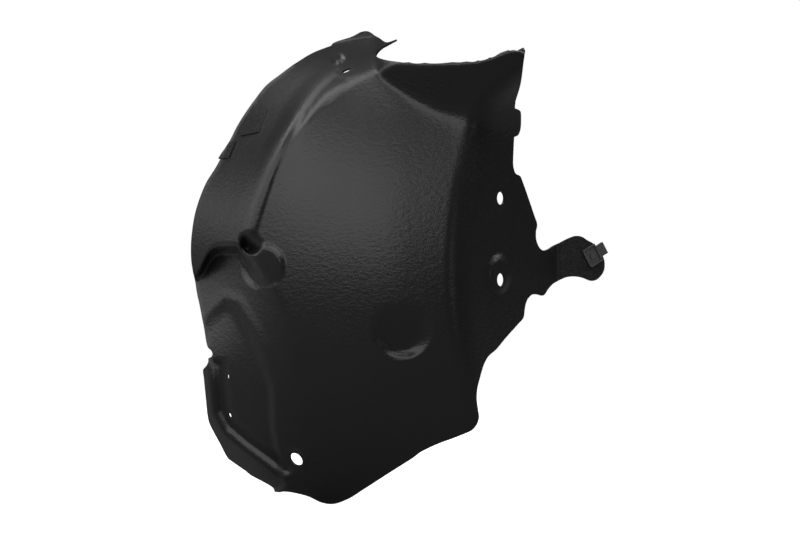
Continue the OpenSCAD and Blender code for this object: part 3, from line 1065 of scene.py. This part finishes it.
@dataclass(frozen=True)
class Grained:
    """Moulded black plastic with a fine pebble grain over a faint wrinkle."""

    name: str = "moulded_plastic"
    base: float = 0.016
    blue: float = 1.04
    roughness: float = 0.30
    roughness_spread: float = 0.05
    wrinkle: float = 0.35
    wrinkle_scale: float = 230.0
    wrinkle_stretch: Triple = (0.55, 0.55, 1.0)
    wrinkle_depth: float = 0.0016
    pebble: float = 0.25
    pebble_scale: float = 620.0
    pebble_depth: float = 0.0005
    cloud_scale: float = 14.0

    def make(self) -> Material:
        """Builds the material's nodes.

        Returns:
            The material.
        """
        mat = new_material(self.name)
        tree = mat.node_tree
        place = add_node(tree, "ShaderNodeTexCoord", {}).outputs["Object"]
        stretch = add_node(tree, "ShaderNodeMapping", {"Scale": self.wrinkle_stretch, "Vector": place})
        folds = {"Scale": self.wrinkle_scale, "Detail": 3.0, "Vector": stretch.outputs["Vector"]}
        wrinkle = add_node(tree, "ShaderNodeTexNoise", folds)
        pebble = add_node(tree, "ShaderNodeTexVoronoi", {"Scale": self.pebble_scale, "Vector": place})
        soft_bump = add_node(tree, "ShaderNodeBump", {
            "Strength": self.wrinkle, "Distance": self.wrinkle_depth, "Height": wrinkle.outputs["Fac"],
        })
        fine_bump = add_node(tree, "ShaderNodeBump", {
            "Strength": self.pebble, "Distance": self.pebble_depth, "Height": pebble.outputs["Distance"],
            "Normal": soft_bump.outputs["Normal"],
        })
        clouds = {"Scale": self.cloud_scale, "Detail": 5.0, "Vector": place}
        cloud = add_node(tree, "ShaderNodeTexNoise", clouds)
        low, high = self.roughness - self.roughness_spread, self.roughness + self.roughness_spread
        levels = {"To Min": low, "To Max": high, "Value": cloud.outputs["Fac"]}
        spread = add_node(tree, "ShaderNodeMapRange", levels)
        feed(tree, tree.nodes["Principled BSDF"], {
            "Base Color": (self.base, self.base, self.base * self.blue, 1.0),
            "Normal": fine_bump.outputs["Normal"], "Roughness": spread.outputs["Result"],
        })
        return mat


@dataclass(frozen=True)
class CoatedSteel:
    """Spring steel with a thin dark coating of slightly uneven tone."""

    name: str = "coated_steel"
    base: float = 0.13
    dark: float = 0.6
    light: float = 1.5
    roughness: float = 0.30
    metallic: float = 0.6
    cloud_scale: float = 260.0

    def make(self) -> Material:
        """Builds the material's nodes.

        Returns:
            The material.
        """
        mat = new_material(self.name)
        tree = mat.node_tree
        place = add_node(tree, "ShaderNodeTexCoord", {}).outputs["Object"]
        clouds = {"Scale": self.cloud_scale, "Detail": 4.0, "Vector": place}
        cloud = add_node(tree, "ShaderNodeTexNoise", clouds)
        tone = add_node(tree, "ShaderNodeValToRGB", {"Fac": cloud.outputs["Fac"]})
        for stop, share in zip(tone.color_ramp.elements, (self.dark, self.light)):
            stop.color = grey(self.base * share)
        feed(tree, tree.nodes["Principled BSDF"], {
            "Metallic": self.metallic, "Base Color": tone.outputs["Color"], "Roughness": self.roughness,
        })
        return mat


@dataclass(frozen=True)
class Lamp:
    """A soft rectangular light that faces the part's middle.

    Its azimuth, from the photo's viewpoint and positive to the right, and its height are in degrees,
    its size is in metres, and its glow is a radiance.
    """

    name: str
    azimuth: float
    height: float
    size: Pair
    glow: float


@dataclass(frozen=True)
class Studio:
    """White floor and world, soft lights and the camera at the photo's place, in metres."""

    plane: MouldingPlane
    distance: float = 6.06
    width: float = 1.2
    sensor: float = 36.0
    middle_depth: float = -60.0 * MM
    bounce: float = 0.16
    room: float = 0.03
    floor_half: float = 40.0
    floor_drop: float = 0.002
    floor_lift: float = 0.72
    floor_fade: Pair = (0.7, 1.3)
    lamp_away: float = 3.0
    lamp_aim: Triple = (-0.1, 0.1, -0.1)
    lamps: tuple[Lamp, ...] = (
        Lamp("key", -30.0, 29.0, (3.3, 2.3), 1.55),
        Lamp("left", -92.0, 29.0, (3.3, 2.2), 1.1),
        Lamp("top", 0.0, 88.0, (2.4, 2.4), 2.0),
        Lamp("high_right", 55.0, 58.0, (1.8, 1.1), 2.0),
        Lamp("high_back", 120.0, 58.0, (1.8, 1.1), 2.4),
        Lamp("back_right", 120.0, 34.0, (2.6, 1.6), 1.6),
        Lamp("low_left", -105.0, 5.0, (4.0, 0.7), 0.42),
        Lamp("high_left", -128.0, 50.0, (2.4, 1.7), 1.4),
        Lamp("ear_end", 44.0, 6.0, (0.5, 0.4), 1.8),
        Lamp("back", 165.0, 22.0, (1.6, 2.2), 0.9),
    )

    def floor(self, low: float) -> Object:
        """Makes the pale floor, which fades to plain white away from the part.

        Args:
            low: the part's lowest point.

        Returns:
            The floor's object.
        """
        s, z = self.floor_half, low - self.floor_drop
        corners = np.array([(-s, -s, z), (s, -s, z), (s, s, z), (-s, s, z)])
        floor = add_mesh("floor", corners, [(0, 1, 2, 3)], smooth=False)
        mat = new_material("floor")
        tree = mat.node_tree
        tree.nodes.clear()
        shaded = add_node(tree, "ShaderNodeBsdfDiffuse", {"Color": grey(1.0)})
        lift = add_node(tree, "ShaderNodeEmission", {"Strength": self.floor_lift})
        both = {0: shaded.outputs["BSDF"], 1: lift.outputs["Emission"]}
        near = add_node(tree, "ShaderNodeAddShader", both)
        far = add_node(tree, "ShaderNodeEmission", {"Strength": 1.0})
        place = add_node(tree, "ShaderNodeTexCoord", {}).outputs["Object"]
        away = add_node(tree, "ShaderNodeVectorMath", {0: place}, operation="LENGTH")
        start, end = self.floor_fade
        ring = {"From Min": start, "From Max": end, "Value": away.outputs["Value"]}
        fade = add_node(tree, "ShaderNodeMapRange", ring, interpolation_type="SMOOTHSTEP")
        seen = add_node(tree, "ShaderNodeMixShader", {
            "Fac": fade.outputs["Result"], 1: near.outputs["Shader"], 2: far.outputs["Emission"],
        })
        lit = add_node(tree, "ShaderNodeBsdfDiffuse", {"Color": grey(self.bounce)})
        camera_ray = add_node(tree, "ShaderNodeLightPath", {}).outputs["Is Camera Ray"]
        mix = add_node(tree, "ShaderNodeMixShader", {
            "Fac": camera_ray, 1: lit.outputs["BSDF"], 2: seen.outputs["Shader"],
        })
        add_node(tree, "ShaderNodeOutputMaterial", {"Surface": mix.outputs["Shader"]})
        floor.data.materials.append(mat)
        return floor

    def world(self) -> None:
        """Makes a world that is white to the camera and dim to everything else."""
        world = bpy.data.worlds.new("studio")
        bpy.context.scene.world = world
        world.use_nodes = True
        tree = world.node_tree
        tree.nodes.clear()
        room = add_node(tree, "ShaderNodeBackground", {"Color": grey(1.0), "Strength": self.room})
        white = add_node(tree, "ShaderNodeBackground", {"Color": grey(1.0)})
        camera_ray = add_node(tree, "ShaderNodeLightPath", {}).outputs["Is Camera Ray"]
        mix = add_node(tree, "ShaderNodeMixShader", {
            "Fac": camera_ray, 1: room.outputs["Background"], 2: white.outputs["Background"],
        })
        add_node(tree, "ShaderNodeOutputWorld", {"Surface": mix.outputs["Shader"]})

    def lights(self) -> None:
        """Adds the lamps, each turned to the part's middle."""
        middle = Vector(self.lamp_aim)
        for lamp in self.lamps:
            data = bpy.data.lights.new(lamp.name, "AREA")
            data.shape = "RECTANGLE"
            data.size, data.size_y = lamp.size
            data.energy = lamp.glow * math.pi * lamp.size[0] * lamp.size[1]
            obj = bpy.data.objects.new(lamp.name, data)
            turn = Matrix.Rotation(math.radians(lamp.azimuth + self.plane.turn), 3, "Z")
            level = turn @ Vector((0.0, -1.0, 0.0))
            up = math.radians(lamp.height)
            at = middle + (level * math.cos(up) + Vector((0.0, 0.0, math.sin(up)))) * self.lamp_away
            facing = (middle - at).to_track_quat("-Z", "Y").to_matrix().to_4x4()
            obj.matrix_world = Matrix.Translation(at) @ facing
            bpy.context.scene.collection.objects.link(obj)

    def camera(self) -> None:
        """Puts the camera where the photo was taken from."""
        data = bpy.data.cameras.new("camera")
        data.sensor_width = self.sensor
        data.lens = self.sensor * self.distance / self.width
        data.clip_end = 100.0
        cam = bpy.data.objects.new("camera", data)
        m = self.plane.matrix()
        at = m @ Vector((0.0, 0.0, (self.middle_depth + self.distance) / MM))
        cam.matrix_world = Matrix.Translation(at) @ m.to_3x3().normalized().to_4x4()
        bpy.context.scene.collection.objects.link(cam)
        bpy.context.scene.camera = cam


def finish_piece(obj: Object, part: Part, mat: Material) -> None:
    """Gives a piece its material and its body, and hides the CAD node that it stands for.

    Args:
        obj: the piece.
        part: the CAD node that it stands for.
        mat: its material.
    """
    obj.data.materials.clear()
    obj.data.materials.append(mat)
    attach(obj, "root")
    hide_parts(part.value)
    log.info("%s: %d faces", obj.name, len(obj.data.polygons))


def main() -> None:
    logging.basicConfig(level=logging.INFO, format="%(message)s")
    scene = bpy.context.scene
    for obj in list(scene.objects):
        bpy.data.objects.remove(obj)
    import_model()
    first = [list(c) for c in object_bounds()]
    plane = MouldingPlane()
    form = SheetForm()
    moulded = Grained().make()
    finish_piece(Liner(plane, form).build(), Part.LINER, moulded)
    plates = (
        MarkPad(
            plane, form, "mark_plate_upper",
            outline=((-249, 210), (-243, 200), (-215, 204.5), (-203, 240), (-230, 240)),
            rows=(
                (-238, 206), (-218, 209), (-234, 214), (-214, 217),
                (-229, 222), (-211, 225), (-226, 230), (-208, 233),
            ),
        ),
        MarkPad(
            plane, form, "mark_plate_lower",
            outline=((-279, 166), (-262, 166), (-252, 192), (-262, 192)),
            rows=((-272, 171), (-265, 171), (-268, 178), (-260, 178), (-264, 185), (-257, 185)),
        ),
    )
    for plate in plates:
        finish_piece(plate.plate(), Part.LINER, moulded)
        finish_piece(plate.ticks(moulded), Part.LINER, moulded)
    finish_piece(SpringNut(plane, form).build(), Part.NUT, CoatedSteel().make())
    studio = Studio(plane)
    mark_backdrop(studio.floor(min(first[0][2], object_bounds()[0][2])))
    studio.world()
    studio.lights()
    studio.camera()
    scene.view_settings.view_transform = "Standard"


if __name__ == "__main__":
    main()
